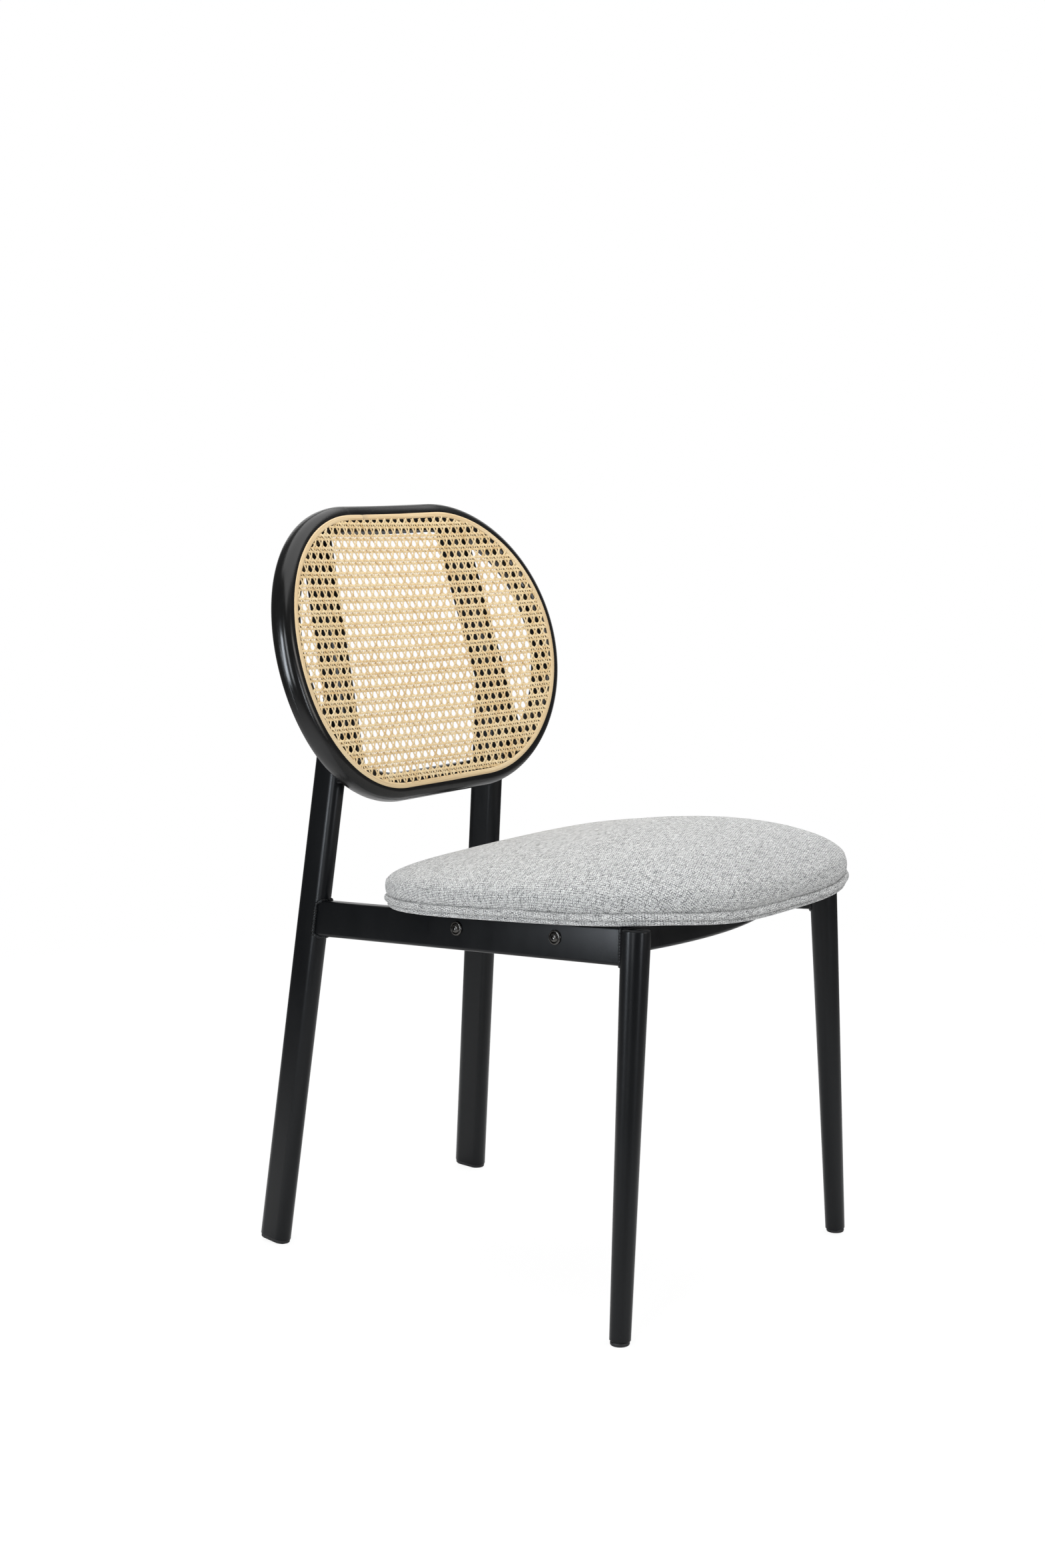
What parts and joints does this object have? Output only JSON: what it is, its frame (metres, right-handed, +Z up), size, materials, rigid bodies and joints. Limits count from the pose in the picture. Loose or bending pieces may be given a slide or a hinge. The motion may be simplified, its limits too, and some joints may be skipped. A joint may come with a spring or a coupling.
{
  "type": "dining chair",
  "caption": "Dining chair with a round-cornered cane panel back in a black rim, a black steel frame with splayed legs and a padded grey fabric seat.",
  "frame": {"origin": "on the floor, under the middle of the chair's bounding box", "axes": "-Y is the way the sitter faces, +X is the sitter's left, +Z is up; the chair is symmetric about x = 0"},
  "size_m": [0.4952, 0.5963, 0.8399],
  "materials": {
    "frame_black": "satin black powder coat",
    "rim_black": "satin black paint",
    "cane": "natural peeled cane, unvarnished",
    "bead": "natural reed, fine lengthwise grain",
    "cover": "light grey melange twill",
    "foam": "open cell foam",
    "plywood": "raw plywood and softwood",
    "dust_cloth": "black nonwoven",
    "dark_nickel": "dark nickel plate",
    "zinc": "zinc plate",
    "black_plastic": "fine matte"
  },
  "bodies": {
    "root": {"rear_leg_left": "frame_black", "back_upright_left": "frame_black", "front_leg_left": "frame_black", "front_leg_cap_left": "frame_black", "side_rail_left": "frame_black", "rear_foot_left": "black_plastic", "front_foot_left": "black_plastic", "cup_washer_front_left": "dark_nickel", "seat_bolt_front_left": "dark_nickel", "insert_nut_front_left": "zinc", "batten_screw_front_left": "zinc", "cup_washer_rear_left": "dark_nickel", "seat_bolt_rear_left": "dark_nickel", "insert_nut_rear_left": "zinc", "batten_screw_rear_left": "zinc", "mounting_tab_upper_left": "frame_black", "back_screw_upper_left": "zinc", "mounting_tab_lower_left": "frame_black", "back_screw_lower_left": "zinc", "seat_batten_left": "plywood", "rear_leg_right": "frame_black", "back_upright_right": "frame_black", "front_leg_right": "frame_black", "front_leg_cap_right": "frame_black", "side_rail_right": "frame_black", "rear_foot_right": "black_plastic", "front_foot_right": "black_plastic", "cup_washer_front_right": "dark_nickel", "seat_bolt_front_right": "dark_nickel", "insert_nut_front_right": "zinc", "batten_screw_front_right": "zinc", "cup_washer_rear_right": "dark_nickel", "seat_bolt_rear_right": "dark_nickel", "insert_nut_rear_right": "zinc", "batten_screw_rear_right": "zinc", "mounting_tab_upper_right": "frame_black", "back_screw_upper_right": "zinc", "mounting_tab_lower_right": "frame_black", "back_screw_lower_right": "zinc", "seat_batten_right": "plywood", "front_rail": "frame_black", "rear_rail": "frame_black", "seat_board": "plywood", "seat_foam": "foam", "seat_cover": "cover", "dust_cover": "dust_cloth", "back_frame": "rim_black", "cane_panel": "cane", "cane_bead": "bead"}
  },
  "joints": []
}
